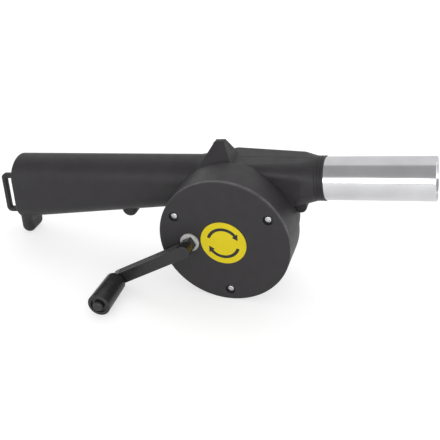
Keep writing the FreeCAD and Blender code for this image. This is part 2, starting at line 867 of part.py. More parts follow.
def crank_arm():
    """Z-shaped crank without its grip, pointing along the crank angle."""
    rear = -drum_front - hub_stand_out + socket_depth - stub_length - move_gap
    front = rear - arm_thickness
    radius = arm_width / 2
    bar = block(0, arm_length, front, rear, -radius, radius)
    body = fused([bar, rod(radius, front, rear), rod(radius, front, rear, arm_length)])
    inset = radius - arm_groove_depth
    for share in (0.3, 0.7):
        middle = front + share * arm_thickness
        for side in (-1, 1):
            low = min(side * inset, side * (radius + 1))
            groove = block(radius, arm_length - radius, middle - arm_groove_width / 2,
                           middle + arm_groove_width / 2, low, low + arm_groove_depth + 1)
            body = body.cut(groove)
    half = socket_size / 2 - run_gap
    stub = block(-half, half, rear - 0.5, rear + stub_length, -half, half)
    tip = edges_near(stub, lambda p: p.y > rear + stub_length - 0.01)
    stub = stub.makeFillet(stub_round, tip)
    body = fused([body, stub])
    body = body.cut(rod(pin_radius + seat_gap, front - 1, rear + 1, arm_length))
    return placed_on_crank(body)


def placed_on_crank(shape):
    shape.translate(Vec(drive_x, 0, drive_z))
    return turned(shape, crank_angle, drive_x, drive_z)


def grip_front():
    """Depth of the end of the grip that faces the arm."""
    rear = -drum_front - hub_stand_out + socket_depth - stub_length - move_gap
    return rear - arm_thickness - move_gap


def crank_grip():
    near = grip_front()
    far = near - grip_length
    body = Part.makeCone(grip_outer_radius, grip_inner_radius, grip_length,
                         Vec(arm_length, far, 0), Vec(0, 1, 0))
    rims = edges_near(body, lambda p: abs(p.y - far) < 0.01 or abs(p.y - near) < 0.01)
    body = body.makeFillet(grip_edge, rims)
    body = body.cut(rod(pin_radius + run_gap, far - 1, near + 1, arm_length))
    body = body.cut(rod(grip_dish_radius, far - 1, far + grip_dish_depth, arm_length))
    return placed_on_crank(body)


def grip_pin():
    near = grip_front()
    seat = near - grip_length + grip_dish_depth - move_gap
    arm_back = near + move_gap + arm_thickness
    pin = rod(pin_radius, seat, arm_back - pin_inset, arm_length)
    head = rod(pin_head_radius, seat - pin_head_height, seat, arm_length)
    outer = seat - pin_head_height
    head = head.makeFillet(pin_head_round, edges_near(head, lambda p: p.y < outer + 0.01))
    return placed_on_crank(fused([pin, head]))


def build_all():
    makers = [front_shell, rear_shell, drum_cover, cover_screws, casing_screws, round_label]
    makers += [strap_loop, collar_ring, nozzle_tube, drive_gear, hub_washer, idler_gear]
    makers += [idler_axle, shaft_bush, shaft_pinion, impeller_shaft, impeller, impeller_clip]
    makers += [crank_arm, crank_grip, grip_pin]
    return {maker.__name__: maker() for maker in makers}


def stand_up(shapes):
    """Turn everything onto the table, with the origin under the middle of its box."""
    for shape in shapes.values():
        shape.rotate(ORIGIN, Vec(0, -1, 0), math.degrees(tilt))
    box = Part.makeCompound(list(shapes.values())).optimalBoundingBox()
    shift = Vec(-box.Center.x, -box.Center.y, drum_radius)
    for shape in shapes.values():
        shape.translate(shift)
    return shift


parts = build_all()
shift = stand_up(parts)
os.makedirs("parts", exist_ok=True)
for name, shape in parts.items():
    shape.exportStep("parts/" + name + ".step")
print("tilt", round(math.degrees(tilt), 3), "shift", [round(v, 3) for v in shift])
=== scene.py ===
import bpy
import bmesh
import json
import math
import numpy as np
from mathutils import Matrix, Vector


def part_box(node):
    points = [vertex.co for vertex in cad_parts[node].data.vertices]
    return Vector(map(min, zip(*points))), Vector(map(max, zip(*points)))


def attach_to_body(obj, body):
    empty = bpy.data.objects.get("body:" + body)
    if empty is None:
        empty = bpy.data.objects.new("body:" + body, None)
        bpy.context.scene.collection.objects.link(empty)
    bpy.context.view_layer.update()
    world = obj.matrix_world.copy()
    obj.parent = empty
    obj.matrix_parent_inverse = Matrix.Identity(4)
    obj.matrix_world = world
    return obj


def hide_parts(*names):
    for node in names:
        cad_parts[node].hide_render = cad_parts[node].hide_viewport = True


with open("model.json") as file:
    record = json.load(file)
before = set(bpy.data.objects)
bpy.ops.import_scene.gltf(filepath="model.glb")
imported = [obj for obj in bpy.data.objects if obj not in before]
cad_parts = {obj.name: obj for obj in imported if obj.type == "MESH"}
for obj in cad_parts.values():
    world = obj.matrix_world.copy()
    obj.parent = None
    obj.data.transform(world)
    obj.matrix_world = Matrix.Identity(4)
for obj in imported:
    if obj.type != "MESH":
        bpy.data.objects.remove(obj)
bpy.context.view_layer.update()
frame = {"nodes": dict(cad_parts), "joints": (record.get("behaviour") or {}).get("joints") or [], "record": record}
record = frame["record"]

# The fan's own axes
# Sizes below are in millimetres on these axes, unless a name or a comment says otherwise:
# X along the nozzle, Y in depth with the drum cover towards -Y, Z up, and the origin on
# the middle of the drum. The scene itself is in metres.

MM_PER_M = 1000

DRUM_RADIUS = 37.5
DRUM_FRONT = 35.0
NOZZLE_Z = 22.0
NOZZLE_RADIUS = 12.0
NOZZLE_WALL = 0.8
NOZZLE_START_X = 52.6
NOZZLE_END_X = 111.0

COVER_SCREW_RING = 30.9
COVER_SCREW_START = math.radians(29.0)
COVER_SCREW_COUNT = 3
COVER_SCREW_HEAD = 1.9
COVER_SCREW_HEIGHT = 1.0
COVER_SCREW_RECESS = 1.6


def joint_named(name):
    return next(j for j in frame["joints"] if j["name"] == name)


def mount_named(name):
    return next(m for m in record["mounts"] if m["name"] == name)


FAN_ORIGIN = Vector(joint_named("rotor_spin")["pos_m"])
ALONG = Vector(mount_named("nozzle_outside")["axis"]).normalized()
DEPTH = Vector((0, 1, 0))
UP = Vector((-ALONG.z, 0, ALONG.x))
TILT = math.atan2(ALONG.z, ALONG.x)


def place(x, y, z):
    """A point on the fan's own axes, in metres in the scene."""
    offset = x * ALONG + y * DEPTH + z * UP
    return FAN_ORIGIN + offset / MM_PER_M


def direction(x, y, z):
    return (x * ALONG + y * DEPTH + z * UP).normalized()


# Finishes
# A noise value mostly lies between these two; a stretch below 1 draws the grain out.
NOISE_LOW = 0.3
NOISE_HIGH = 0.7
LENGTHWISE = (0.03, 1.0, 1.0)
ROUND_THE_AXLE = (0.05, 1.0, 0.05)


def begin_finish(name, colour, roughness, metallic=0.0):
    material = bpy.data.materials.new(name)
    material.use_nodes = True
    shader = material.node_tree.nodes["Principled BSDF"]
    shader.inputs["Base Color"].default_value = (*colour, 1.0)
    shader.inputs["Roughness"].default_value = roughness
    shader.inputs["Metallic"].default_value = metallic
    return material, shader


def fan_coordinates(material, stretch=None):
    """Object coordinates turned onto the fan's own axes, in metres."""
    nodes = material.node_tree.nodes
    links = material.node_tree.links
    where = nodes.new("ShaderNodeTexCoord")
    turn = nodes.new("ShaderNodeMapping")
    turn.inputs["Rotation"].default_value = (0, TILT, 0)
    turned_origin = Matrix.Rotation(TILT, 3, "Y") @ FAN_ORIGIN
    turn.inputs["Location"].default_value = -turned_origin
    links.new(where.outputs["Object"], turn.inputs["Vector"])
    if stretch is None:
        return turn.outputs["Vector"]
    scale = nodes.new("ShaderNodeMapping")
    scale.inputs["Scale"].default_value = stretch
    links.new(turn.outputs["Vector"], scale.inputs["Vector"])
    return scale.outputs["Vector"]


def noise(material, where, grain_mm, detail):
    texture = material.node_tree.nodes.new("ShaderNodeTexNoise")
    texture.inputs["Scale"].default_value = MM_PER_M / grain_mm
    texture.inputs["Detail"].default_value = detail
    texture.inputs["Roughness"].default_value = 0.5
    material.node_tree.links.new(where, texture.inputs["Vector"])
    return texture.outputs["Fac"]


def spread(material, value, low, high, start=NOISE_LOW, end=NOISE_HIGH):
    """Maps a value between start and end onto low to high."""
    node = material.node_tree.nodes.new("ShaderNodeMapRange")
    node.inputs["From Min"].default_value = start
    node.inputs["From Max"].default_value = end
    node.inputs["To Min"].default_value = low
    node.inputs["To Max"].default_value = high
    material.node_tree.links.new(value, node.inputs["Value"])
    return node.outputs["Result"]


def mottle(material, shader, where, grain_mm, one, other, detail=3.0):
    """Colour that wanders between two near shades."""
    mix = material.node_tree.nodes.new("ShaderNodeMix")
    mix.data_type = "RGBA"
    mix.inputs["A"].default_value = (*one, 1.0)
    mix.inputs["B"].default_value = (*other, 1.0)
    value = spread(material, noise(material, where, grain_mm, detail), low=0.0, high=1.0)
    material.node_tree.links.new(value, mix.inputs["Factor"])
    material.node_tree.links.new(mix.outputs["Result"], shader.inputs["Base Color"])
    return mix


def vary_gloss(material, shader, where, low, high, grain_mm, detail=2.0):
    value = spread(material, noise(material, where, grain_mm, detail), low, high)
    material.node_tree.links.new(value, shader.inputs["Roughness"])


def relief(material, shader, where, grain_mm, detail, depth_mm, strength):
    """Fine relief from noise, on top of any relief that the shader already has."""
    links = material.node_tree.links
    height = noise(material, where, grain_mm, detail)
    node = material.node_tree.nodes.new("ShaderNodeBump")
    node.inputs["Strength"].default_value = strength
    node.inputs["Distance"].default_value = depth_mm / MM_PER_M
    links.new(height, node.inputs["Height"])
    socket = shader.inputs["Normal"]
    if socket.is_linked:
        links.new(socket.links[0].from_socket, node.inputs["Normal"])
    links.new(node.outputs["Normal"], socket)


def painted_rim_highlight(material, shader, where, mix, radius_mm, width_mm, shade):
    """A paler ring round the drum's axis at its rim, a painted highlight of light on the rounded edge, broken into
    patches by noise.
    """
    nodes = material.node_tree.nodes
    links = material.node_tree.links
    axes = nodes.new("ShaderNodeSeparateXYZ")
    links.new(where, axes.inputs["Vector"])
    flat = nodes.new("ShaderNodeCombineXYZ")
    links.new(axes.outputs["X"], flat.inputs["X"])
    links.new(axes.outputs["Z"], flat.inputs["Z"])
    length = nodes.new("ShaderNodeVectorMath")
    length.operation = "LENGTH"
    links.new(flat.outputs["Vector"], length.inputs[0])
    rim = spread(material, length.outputs["Value"], low=0.0, high=1.0,
                 start=(radius_mm - width_mm) / MM_PER_M, end=radius_mm / MM_PER_M)
    patches = noise(material, where, grain_mm=3.5, detail=4.0)
    patchy = spread(material, patches, low=0.35, high=1.0)
    both = nodes.new("ShaderNodeMath")
    both.operation = "MULTIPLY"
    links.new(rim, both.inputs[0])
    links.new(patchy, both.inputs[1])
    paler = nodes.new("ShaderNodeMix")
    paler.data_type = "RGBA"
    paler.inputs["B"].default_value = (*shade, 1.0)
    links.new(both.outputs["Value"], paler.inputs["Factor"])
    links.new(mix.outputs["Result"], paler.inputs["A"])
    links.new(paler.outputs["Result"], shader.inputs["Base Color"])


def casing_plastic():
    """Satin charcoal plastic with the fine spark texture of its mould."""
    material, shader = begin_finish("casing_plastic", (0.036, 0.033, 0.036), roughness=0.46)
    where = fan_coordinates(material)
    mottle(material, shader, where, grain_mm=9.0,
           one=(0.033, 0.030, 0.033), other=(0.039, 0.036, 0.039))
    vary_gloss(material, shader, where, low=0.42, high=0.50, grain_mm=6.0)
    relief(material, shader, where, grain_mm=14.0, detail=1.0, depth_mm=0.10, strength=0.5)
    relief(material, shader, where, grain_mm=0.34, detail=3.0, depth_mm=0.010, strength=0.7)
    shader.inputs["Specular IOR Level"].default_value = 0.34
    return material


def cover_plastic():
    """The cover's slightly finer and flatter texture."""
    material, shader = begin_finish("cover_plastic", (0.037, 0.034, 0.037), roughness=0.48)
    where = fan_coordinates(material)
    mix = mottle(material, shader, where, grain_mm=7.0,
                 one=(0.035, 0.032, 0.035), other=(0.040, 0.037, 0.040))
    # Painted highlight: the cover's rim is painted paler in patches, where light catches the rounded edge.
    painted_rim_highlight(material, shader, where, mix, radius_mm=DRUM_RADIUS, width_mm=0.45,
              shade=(0.12, 0.115, 0.12))
    vary_gloss(material, shader, where, low=0.44, high=0.52, grain_mm=5.0)
    relief(material, shader, where, grain_mm=0.26, detail=3.0, depth_mm=0.010, strength=0.8)
    shader.inputs["Specular IOR Level"].default_value = 0.34
    return material


def crank_plastic():
    """Glossier, darker black of the crank and its grip, with faint handling marks."""
    material, shader = begin_finish("crank_plastic", (0.022, 0.022, 0.024), roughness=0.27)
    where = fan_coordinates(material)
    mottle(material, shader, where, grain_mm=8.0,
           one=(0.020, 0.020, 0.022), other=(0.026, 0.026, 0.028))
    vary_gloss(material, shader, where, low=0.22, high=0.33, grain_mm=4.0, detail=4.0)
    relief(material, shader, where, grain_mm=10.0, detail=1.0, depth_mm=0.08, strength=0.5)
    relief(material, shader, where, grain_mm=0.5, detail=2.0, depth_mm=0.006, strength=0.5)
    return material


def tube_aluminium():
    """Drawn tube, polished along its length, with a faint cloudy skin."""
    material, shader = begin_finish("tube_aluminium", (0.78, 0.78, 0.80), roughness=0.16,
                                    metallic=1.0)
    where = fan_coordinates(material)
    mottle(material, shader, where, grain_mm=12.0,
           one=(0.74, 0.74, 0.76), other=(0.82, 0.82, 0.84))
    lines = fan_coordinates(material, LENGTHWISE)
    vary_gloss(material, shader, lines, low=0.11, high=0.22, grain_mm=0.5, detail=3.0)
    relief(material, shader, lines, grain_mm=0.28, detail=2.0, depth_mm=0.004, strength=0.5)
    relief(material, shader, where, grain_mm=16.0, detail=1.0, depth_mm=0.05, strength=0.3)
    return material


def screw_steel():
    """Bright zinc plating with a light grain from the barrel."""
    material, shader = begin_finish("screw_steel", (0.75, 0.75, 0.77), roughness=0.24,
                                    metallic=1.0)
    where = fan_coordinates(material)
    mottle(material, shader, where, grain_mm=1.2,
           one=(0.68, 0.69, 0.72), other=(0.80, 0.80, 0.81))
    vary_gloss(material, shader, where, low=0.18, high=0.34, grain_mm=0.8)
    relief(material, shader, where, grain_mm=0.3, detail=2.0, depth_mm=0.008, strength=0.5)
    return material


def socket_nylon():
    """Light grey drive socket, a little waxy."""
    material, shader = begin_finish("socket_nylon", (0.62, 0.62, 0.60), roughness=0.42)
    where = fan_coordinates(material)
    mottle(material, shader, where, grain_mm=3.0,
           one=(0.58, 0.58, 0.56), other=(0.66, 0.66, 0.64))
    vary_gloss(material, shader, where, low=0.36, high=0.50, grain_mm=2.0)
    relief(material, shader, where, grain_mm=0.4, detail=2.0, depth_mm=0.008, strength=0.5)
    shader.inputs["Subsurface Weight"].default_value = 0.08
    shader.inputs["Subsurface Scale"].default_value = 0.001
    return material


def label_film():
    """Smooth yellow film with a clear top coat."""
    material, shader = begin_finish("label_film", (0.88, 0.71, 0.012), roughness=0.42)
    where = fan_coordinates(material)
    mottle(material, shader, where, grain_mm=10.0,
           one=(0.86, 0.69, 0.010), other=(0.90, 0.73, 0.014))
    vary_gloss(material, shader, where, low=0.38, high=0.46, grain_mm=7.0)
    relief(material, shader, where, grain_mm=5.0, detail=1.0, depth_mm=0.02, strength=0.4)
    shader.inputs["Specular IOR Level"].default_value = 0.3
    shader.inputs["Coat Weight"].default_value = 0.08
    shader.inputs["Coat Roughness"].default_value = 0.2
    return material


def label_ink():
    """Screen printed black on the film, with a slightly uneven lay."""
    material, shader = begin_finish("label_ink", (0.012, 0.012, 0.013), roughness=0.40)
    where = fan_coordinates(material)
    mottle(material, shader, where, grain_mm=1.6,
           one=(0.010, 0.010, 0.011), other=(0.020, 0.019, 0.018))
    vary_gloss(material, shader, where, low=0.34, high=0.48, grain_mm=1.2)
    return material


def pin_steel():
    """Black finished rivet, its black a little uneven."""
    material, shader = begin_finish("pin_steel", (0.03, 0.03, 0.032), roughness=0.30)
    where = fan_coordinates(material)
    mottle(material, shader, where, grain_mm=1.0,
           one=(0.025, 0.025, 0.027), other=(0.045, 0.044, 0.044))
    vary_gloss(material, shader, where, low=0.24, high=0.38, grain_mm=0.7)
    relief(material, shader, where, grain_mm=0.25, detail=2.0, depth_mm=0.006, strength=0.5)
    return material


def washer_fibre():
    """Brown pressed fibre of the thrust washer."""
    material, shader = begin_finish("washer_fibre", (0.35, 0.30, 0.22), roughness=0.75)
    where = fan_coordinates(material)
    mottle(material, shader, where, grain_mm=0.8, detail=5.0,
           one=(0.30, 0.25, 0.18), other=(0.40, 0.34, 0.26))
    relief(material, shader, where, grain_mm=0.3, detail=4.0, depth_mm=0.02, strength=0.6)
    return material


def gear_nylon():
    """Natural nylon of the inner gears."""
    material, shader = begin_finish("gear_nylon", (0.80, 0.79, 0.74), roughness=0.42)
    where = fan_coordinates(material)
    mottle(material, shader, where, grain_mm=4.0,
           one=(0.76, 0.75, 0.69), other=(0.83, 0.82, 0.78))
    vary_gloss(material, shader, where, low=0.36, high=0.50, grain_mm=2.0)
    shader.inputs["Subsurface Weight"].default_value = 0.15
    shader.inputs["Subsurface Scale"].default_value = 0.0015
    return material


def axle_steel():
    """Ground steel, with grinding marks round the bar."""
    material, shader = begin_finish("axle_steel", (0.60, 0.60, 0.62), roughness=0.28,
                                    metallic=1.0)
    rings = fan_coordinates(material, ROUND_THE_AXLE)
    mottle(material, shader, rings, grain_mm=0.4,
           one=(0.55, 0.55, 0.57), other=(0.64, 0.64, 0.66))
    vary_gloss(material, shader, rings, low=0.22, high=0.36, grain_mm=0.2)
    return material


def bush_brass():
    """Turned brass, with the tool's fine rings."""
    material, shader = begin_finish("bush_brass", (0.72, 0.55, 0.22), roughness=0.25,
                                    metallic=1.0)
    rings = fan_coordinates(material, ROUND_THE_AXLE)
    mottle(material, shader, rings, grain_mm=0.5,
           one=(0.66, 0.49, 0.18), other=(0.76, 0.60, 0.27))
    vary_gloss(material, shader, rings, low=0.20, high=0.34, grain_mm=0.25)
    return material


def impeller_plastic():
    """Mid grey plastic of the impeller."""
    material, shader = begin_finish("impeller_plastic", (0.30, 0.30, 0.31), roughness=0.46)
    where = fan_coordinates(material)
    mottle(material, shader, where, grain_mm=6.0,
           one=(0.27, 0.27, 0.28), other=(0.33, 0.33, 0.34))
    vary_gloss(material, shader, where, low=0.40, high=0.54, grain_mm=3.0)
    relief(material, shader, where, grain_mm=0.4, detail=2.0, depth_mm=0.008, strength=0.5)
    return material


MAKERS = (casing_plastic, cover_plastic, crank_plastic, tube_aluminium, screw_steel,
          socket_nylon, label_film, pin_steel, washer_fibre, gear_nylon, axle_steel,
          bush_brass, impeller_plastic)
finish = {make.__name__: make() for make in MAKERS}
ink = label_ink()


# Making pieces
SLOT_OF = {part["node"]: part["material_slot"] for part in record["subparts"]}
BODIES = record["behaviour"]["bodies"]
BODY_OF = {node: body for body, nodes in BODIES.items() for node in nodes}

# Distances in metres, and angles in degrees
WELD = 3e-6
FINE_WELD = 1e-7
SLIVER = 1e-6
FLAT_DEG = 0.6
SHARP_DEG = 32.0
BEVEL_FROM_DEG = 34.0
BEVEL_SEGMENTS = 3
FLAT_FACE_WEIGHT = 80


def add_object(name, mesh, material):
    obj = bpy.data.objects.new(name, mesh)
    bpy.context.scene.collection.objects.link(obj)
    mesh.materials.clear()
    mesh.materials.append(material)
    return obj


def smooth(mesh, sharp_deg=SHARP_DEG):
    """Smooth shading that keeps edges sharper than the angle."""
    mesh.shade_smooth()
    mesh.set_sharp_from_angle(angle=math.radians(sharp_deg))


def settle(obj):
    """Turns an object with modifiers into a plain mesh under the same name."""
    depsgraph = bpy.context.evaluated_depsgraph_get()
    mesh = bpy.data.meshes.new_from_object(obj.evaluated_get(depsgraph))
    old = obj.data
    name = obj.name
    obj.modifiers.clear()
    obj.data = mesh
    mesh.name = name
    bpy.data.meshes.remove(old)


def soften(obj, width_mm):
    """Rounds the sharp edges and keeps the flat faces flat."""
    bevel = obj.modifiers.new("edge_round", "BEVEL")
    bevel.limit_method = "ANGLE"
    bevel.angle_limit = math.radians(BEVEL_FROM_DEG)
    bevel.width = width_mm / MM_PER_M
    bevel.segments = BEVEL_SEGMENTS
    bevel.use_clamp_overlap = False
    bevel.harden_normals = False
    weighted = obj.modifiers.new("flat_faces", "WEIGHTED_NORMAL")
    weighted.keep_sharp = True
    weighted.weight = FLAT_FACE_WEIGHT
    settle(obj)


def dressed(node, piece_name, width_mm):
    """A merged copy of a node with softened edges, which stands for the node."""
    mesh = frame["nodes"][node].data.copy()
    work = bmesh.new()
    work.from_mesh(mesh)
    bmesh.ops.remove_doubles(work, verts=work.verts, dist=WELD)
    bmesh.ops.dissolve_degenerate(work, dist=SLIVER, edges=work.edges)
    flat = math.radians(FLAT_DEG)
    bmesh.ops.dissolve_limit(work, angle_limit=flat, verts=work.verts, edges=work.edges)
    work.to_mesh(mesh)
    work.free()
    if "custom_normal" in mesh.attributes:
        mesh.attributes.remove(mesh.attributes["custom_normal"])
    obj = add_object(piece_name, mesh, finish[SLOT_OF[node]])
    smooth(mesh)
    if width_mm:
        soften(obj, width_mm)
    attach(obj, node)


def attach(obj, *nodes):
    """The piece rides with the nodes' body and stands for them."""
    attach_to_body(obj, BODY_OF[nodes[0]])
    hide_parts(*nodes)


def mesh_from(name, points, faces, weld=0.0, triangles=False):
    """A mesh with its faces turned outwards, its points joined where closer than weld metres."""
    mesh = bpy.data.meshes.new(name)
    mesh.from_pydata([tuple(p) for p in points], [], faces)
    work = bmesh.new()
    work.from_mesh(mesh)
    if weld:
        bmesh.ops.remove_doubles(work, verts=work.verts, dist=weld)
    bmesh.ops.recalc_face_normals(work, faces=work.faces)
    if triangles:
        bmesh.ops.triangulate(work, faces=work.faces)
    work.to_mesh(mesh)
    work.free()
    return mesh


# Nozzle tube
TUBE_STEPS = 144
TUBE_RINGS = 9
TUBE_RING_STEP = 6
MOUTH_EDGE = 0.34
MOUTH_EDGE_STEPS = 5
TUBE_SHARP_DEG = 40


def turned_profile(name, profile, steps, centre_z):
    """A closed profile (x, radius) spun about the nozzle's axis."""
    points = []
    for step in range(steps):
        angle = 2 * math.pi * step / steps
        for x, radius in profile:
            points.append(place(x, radius * math.cos(angle), centre_z + radius * math.sin(angle)))
    count = len(profile)
    faces = []
    for step in range(steps):
        here = step * count
        there = (step + 1) % steps * count
        for i in range(count):
            j = (i + 1) % count
            faces.append((here + i, here + j, there + j, there + i))
    return mesh_from(name, points, faces, FINE_WELD)


def rounded_corner(x, radius, size, start_deg):
    """Quarter round of a profile about (x, radius)."""
    out = []
    for step in range(MOUTH_EDGE_STEPS + 1):
        angle = math.radians(start_deg - 90 * step / MOUTH_EDGE_STEPS)
        out.append((x + size * math.cos(angle), radius + size * math.sin(angle)))
    return out


def make_nozzle_tube():
    """Thin drawn tube with a rounded mouth edge, open right through."""
    outer = NOZZLE_RADIUS
    inner = outer - NOZZLE_WALL
    start = NOZZLE_START_X
    mouth = NOZZLE_END_X - MOUTH_EDGE
    profile = [(start, inner), (start, outer)]
    profile += [(start + TUBE_RING_STEP * k, outer) for k in range(1, TUBE_RINGS + 1)]
    profile += rounded_corner(mouth, outer - MOUTH_EDGE, MOUTH_EDGE, start_deg=90)
    profile += rounded_corner(mouth, inner + MOUTH_EDGE, MOUTH_EDGE, start_deg=0)
    mesh = turned_profile("nozzle_tube_drawn", profile, TUBE_STEPS, NOZZLE_Z)
    obj = add_object("nozzle_tube_drawn", mesh, finish["tube_aluminium"])
    smooth(mesh, TUBE_SHARP_DEG)
    attach(obj, "nozzle_tube")


# Repeated pieces
def copies_tree(name, material):
    """Sets a template on each point of a mesh, turned by the point's own angle."""
    tree = bpy.data.node_groups.new(name, "GeometryNodeTree")
    sockets = tree.interface
    sockets.new_socket(name="Geometry", in_out="INPUT", socket_type="NodeSocketGeometry")
    sockets.new_socket(name="Geometry", in_out="OUTPUT", socket_type="NodeSocketGeometry")
    template = sockets.new_socket(name="Template", in_out="INPUT", socket_type="NodeSocketObject")
    nodes = tree.nodes
    links = tree.links
    start = nodes.new("NodeGroupInput")
    end = nodes.new("NodeGroupOutput")
    info = nodes.new("GeometryNodeObjectInfo")
    turn = nodes.new("GeometryNodeInputNamedAttribute")
    turn.data_type = "FLOAT_VECTOR"
    turn.inputs["Name"].default_value = "turn"
    to_rotation = nodes.new("FunctionNodeEulerToRotation")
    put = nodes.new("GeometryNodeInstanceOnPoints")
    real = nodes.new("GeometryNodeRealizeInstances")
    paint = nodes.new("GeometryNodeSetMaterial")
    paint.inputs["Material"].default_value = material
    links.new(start.outputs["Template"], info.inputs["Object"])
    links.new(start.outputs["Geometry"], put.inputs["Points"])
    links.new(info.outputs["Geometry"], put.inputs["Instance"])
    links.new(turn.outputs["Attribute"], to_rotation.inputs["Euler"])
    links.new(to_rotation.outputs["Rotation"], put.inputs["Rotation"])
    links.new(put.outputs["Instances"], real.inputs["Geometry"])
    links.new(real.outputs["Geometry"], paint.inputs["Geometry"])
    links.new(paint.outputs["Geometry"], end.inputs["Geometry"])
    return tree, template.identifier


def set_copies(name, template, points, turns, material):
    """One plain mesh with the template on every point."""
    mesh = bpy.data.meshes.new(name)
    mesh.from_pydata([tuple(p) for p in points], [], [])
    values = mesh.attributes.new("turn", "FLOAT_VECTOR", "POINT")
    values.data.foreach_set("vector", np.array(turns, np.float32).ravel())
    obj = bpy.data.objects.new(name, mesh)
    bpy.context.scene.collection.objects.link(obj)
    tree, template_key = copies_tree(name + "_tree", material)
    modifier = obj.modifiers.new("copies", "NODES")
    modifier.node_group = tree
    modifier[template_key] = template
    settle(obj)
    shape = template.data
    bpy.data.objects.remove(template)
    bpy.data.meshes.remove(shape)
    return obj


# Cover screws: shares of the head's height and radius, then the cross and the shank
DOME_DROP = 0.34
SHOULDER_FROM = 0.82
SHOULDER_DROP = 0.42
CROSS_DEPTH = 0.7
CROSS_REACH = 1.2
CROSS_HALF_WIDTH = 0.34
CROSS_SIDE_SLOPE = 0.10
CROSS_END_SLOPE = 0.20
CROSS_MIDDLE = 0.66
CROSS_MIDDLE_SLOPE = 0.28
SHANK_RADIUS = 1.2
SHANK_LENGTH = 8.9
SHANK_POINT = 0.8
SHANK_POINT_RADIUS = 0.2
HEAD_RINGS = 26
HEAD_STEPS = 96
SCREW_SHARP_DEG = 38
# How far each screw is turned, in radians
SCREW_TURNS = (0.35, 1.1, 0.75)


def slope(inside, width):
    """0 outside, 1 deeper inside than the width, and a ramp between."""
    return min(max(inside / width, 0.0), 1.0)


def screw_head_height(radius, angle):
    """Height of a domed head with a cross recess, over a polar grid."""
    share = radius / COVER_SCREW_HEAD
    dome = COVER_SCREW_HEIGHT * (1 - DOME_DROP * share**2)
    if share > SHOULDER_FROM:
        shoulder = (share - SHOULDER_FROM) / (1 - SHOULDER_FROM)
        dome -= COVER_SCREW_HEIGHT * SHOULDER_DROP * shoulder**2
    x = abs(radius * math.cos(angle))
    y = abs(radius * math.sin(angle))
    side = slope(CROSS_HALF_WIDTH - min(x, y), CROSS_SIDE_SLOPE)
    end = slope(CROSS_REACH - max(x, y), CROSS_END_SLOPE)
    middle = slope(CROSS_MIDDLE - x - y, CROSS_MIDDLE_SLOPE)
    return dome - CROSS_DEPTH * max(side * end, middle)


def screw_template(name):
    """Pan head facing -Y with a cross recess, its shank behind it."""
    points = [(0, -screw_head_height(0, 0), 0)]
    faces = []
    angles = [2 * math.pi * step / HEAD_STEPS for step in range(HEAD_STEPS)]
    for ring in range(1, HEAD_RINGS + 1):
        radius = COVER_SCREW_HEAD * ring / HEAD_RINGS
        for angle in angles:
            rise = screw_head_height(radius, angle)
            points.append((radius * math.cos(angle), -rise, radius * math.sin(angle)))
    outline = [(COVER_SCREW_HEAD, 0.0), (SHANK_RADIUS, 0.0),
               (SHANK_RADIUS, SHANK_LENGTH - SHANK_POINT), (SHANK_POINT_RADIUS, SHANK_LENGTH)]
    for radius, depth in outline:
        for angle in angles:
            points.append((radius * math.cos(angle), depth, radius * math.sin(angle)))
    points.append((0, SHANK_LENGTH, 0))
    total = HEAD_RINGS + len(outline)
    for step in range(HEAD_STEPS):
        nxt = (step + 1) % HEAD_STEPS
        faces.append((0, 1 + step, 1 + nxt))
        for ring in range(total - 1):
            a = 1 + ring * HEAD_STEPS
            b = a + HEAD_STEPS
            faces.append((a + step, b + step, b + nxt, a + nxt))
        last = 1 + (total - 1) * HEAD_STEPS
        faces.append((last + step, len(points) - 1, last + nxt))
    mesh = mesh_from(name, [Vector(p) / MM_PER_M for p in points], faces, FINE_WELD)
    smooth(mesh, SCREW_SHARP_DEG)
    obj = bpy.data.objects.new(name, mesh)
    bpy.context.scene.collection.objects.link(obj)
    return obj


def make_cover_screws():
    """Three small cross-head screws, each stopped at its own angle."""
    template = screw_template("cover_screw_shape")
    points = []
    turns = []
    for number in range(COVER_SCREW_COUNT):
        angle = COVER_SCREW_START + 2 * math.pi * number / COVER_SCREW_COUNT
        x = COVER_SCREW_RING * math.cos(angle)
        z = COVER_SCREW_RING * math.sin(angle)
        points.append(place(x, COVER_SCREW_RECESS - DRUM_FRONT, z))
        turns.append((0, SCREW_TURNS[number], 0))
    obj = set_copies("cover_screw_set", template, points, turns, finish["screw_steel"])
    attach(obj, "cover_screws")


# Printed label
PRINT_THICKNESS = 0.03
ARROW_RADIUS = 8.7
ARROW_WIDTH = 1.8
ARROW_HEAD = 3.4
# Half the head's breadth, as a share of its length
ARROW_HEAD_SHARE = 0.62
ARROW_STEPS = 28
# Start and end of each arrow, in degrees
ARROW_SPANS = ((158, 34), (-22, -146))


def flat_print(name, outlines, y, centre, material):
    """Thin filled outlines on a plane of constant depth, in the fan's axes."""
    points = []
    faces = []
    for outline in outlines:
        first = len(points)
        count = len(outline)
        for depth in (y, y - PRINT_THICKNESS):
            points += [place(centre[0] + a, depth, centre[1] + b) for a, b in outline]
        faces.append(tuple(first + count + i for i in range(count)))
        faces.append(tuple(first + i for i in reversed(range(count))))
        for i in range(count):
            j = (i + 1) % count
            faces.append((first + i, first + j, first + count + j, first + count + i))
    return add_object(name, mesh_from(name, points, faces, triangles=True), material)


def arc_arrow(start_deg, end_deg):
    """A curved arrow as one outline, its point just past the end angle."""
    radius = ARROW_RADIUS
    span = end_deg - start_deg
    angles = [math.radians(start_deg + span * i / ARROW_STEPS) for i in range(ARROW_STEPS + 1)]
    outer = radius + ARROW_WIDTH / 2
    inner = radius - ARROW_WIDTH / 2
    neck = angles[-1]
    tip = neck + math.copysign(ARROW_HEAD / radius, span)
    wide = radius + ARROW_HEAD * ARROW_HEAD_SHARE
    narrow = radius - ARROW_HEAD * ARROW_HEAD_SHARE
    stops = [(outer, angle) for angle in angles]
    stops += [(wide, neck), (radius, tip), (narrow, neck)]
    stops += [(inner, angle) for angle in reversed(angles)]
    return [(reach * math.cos(angle), reach * math.sin(angle)) for reach, angle in stops]


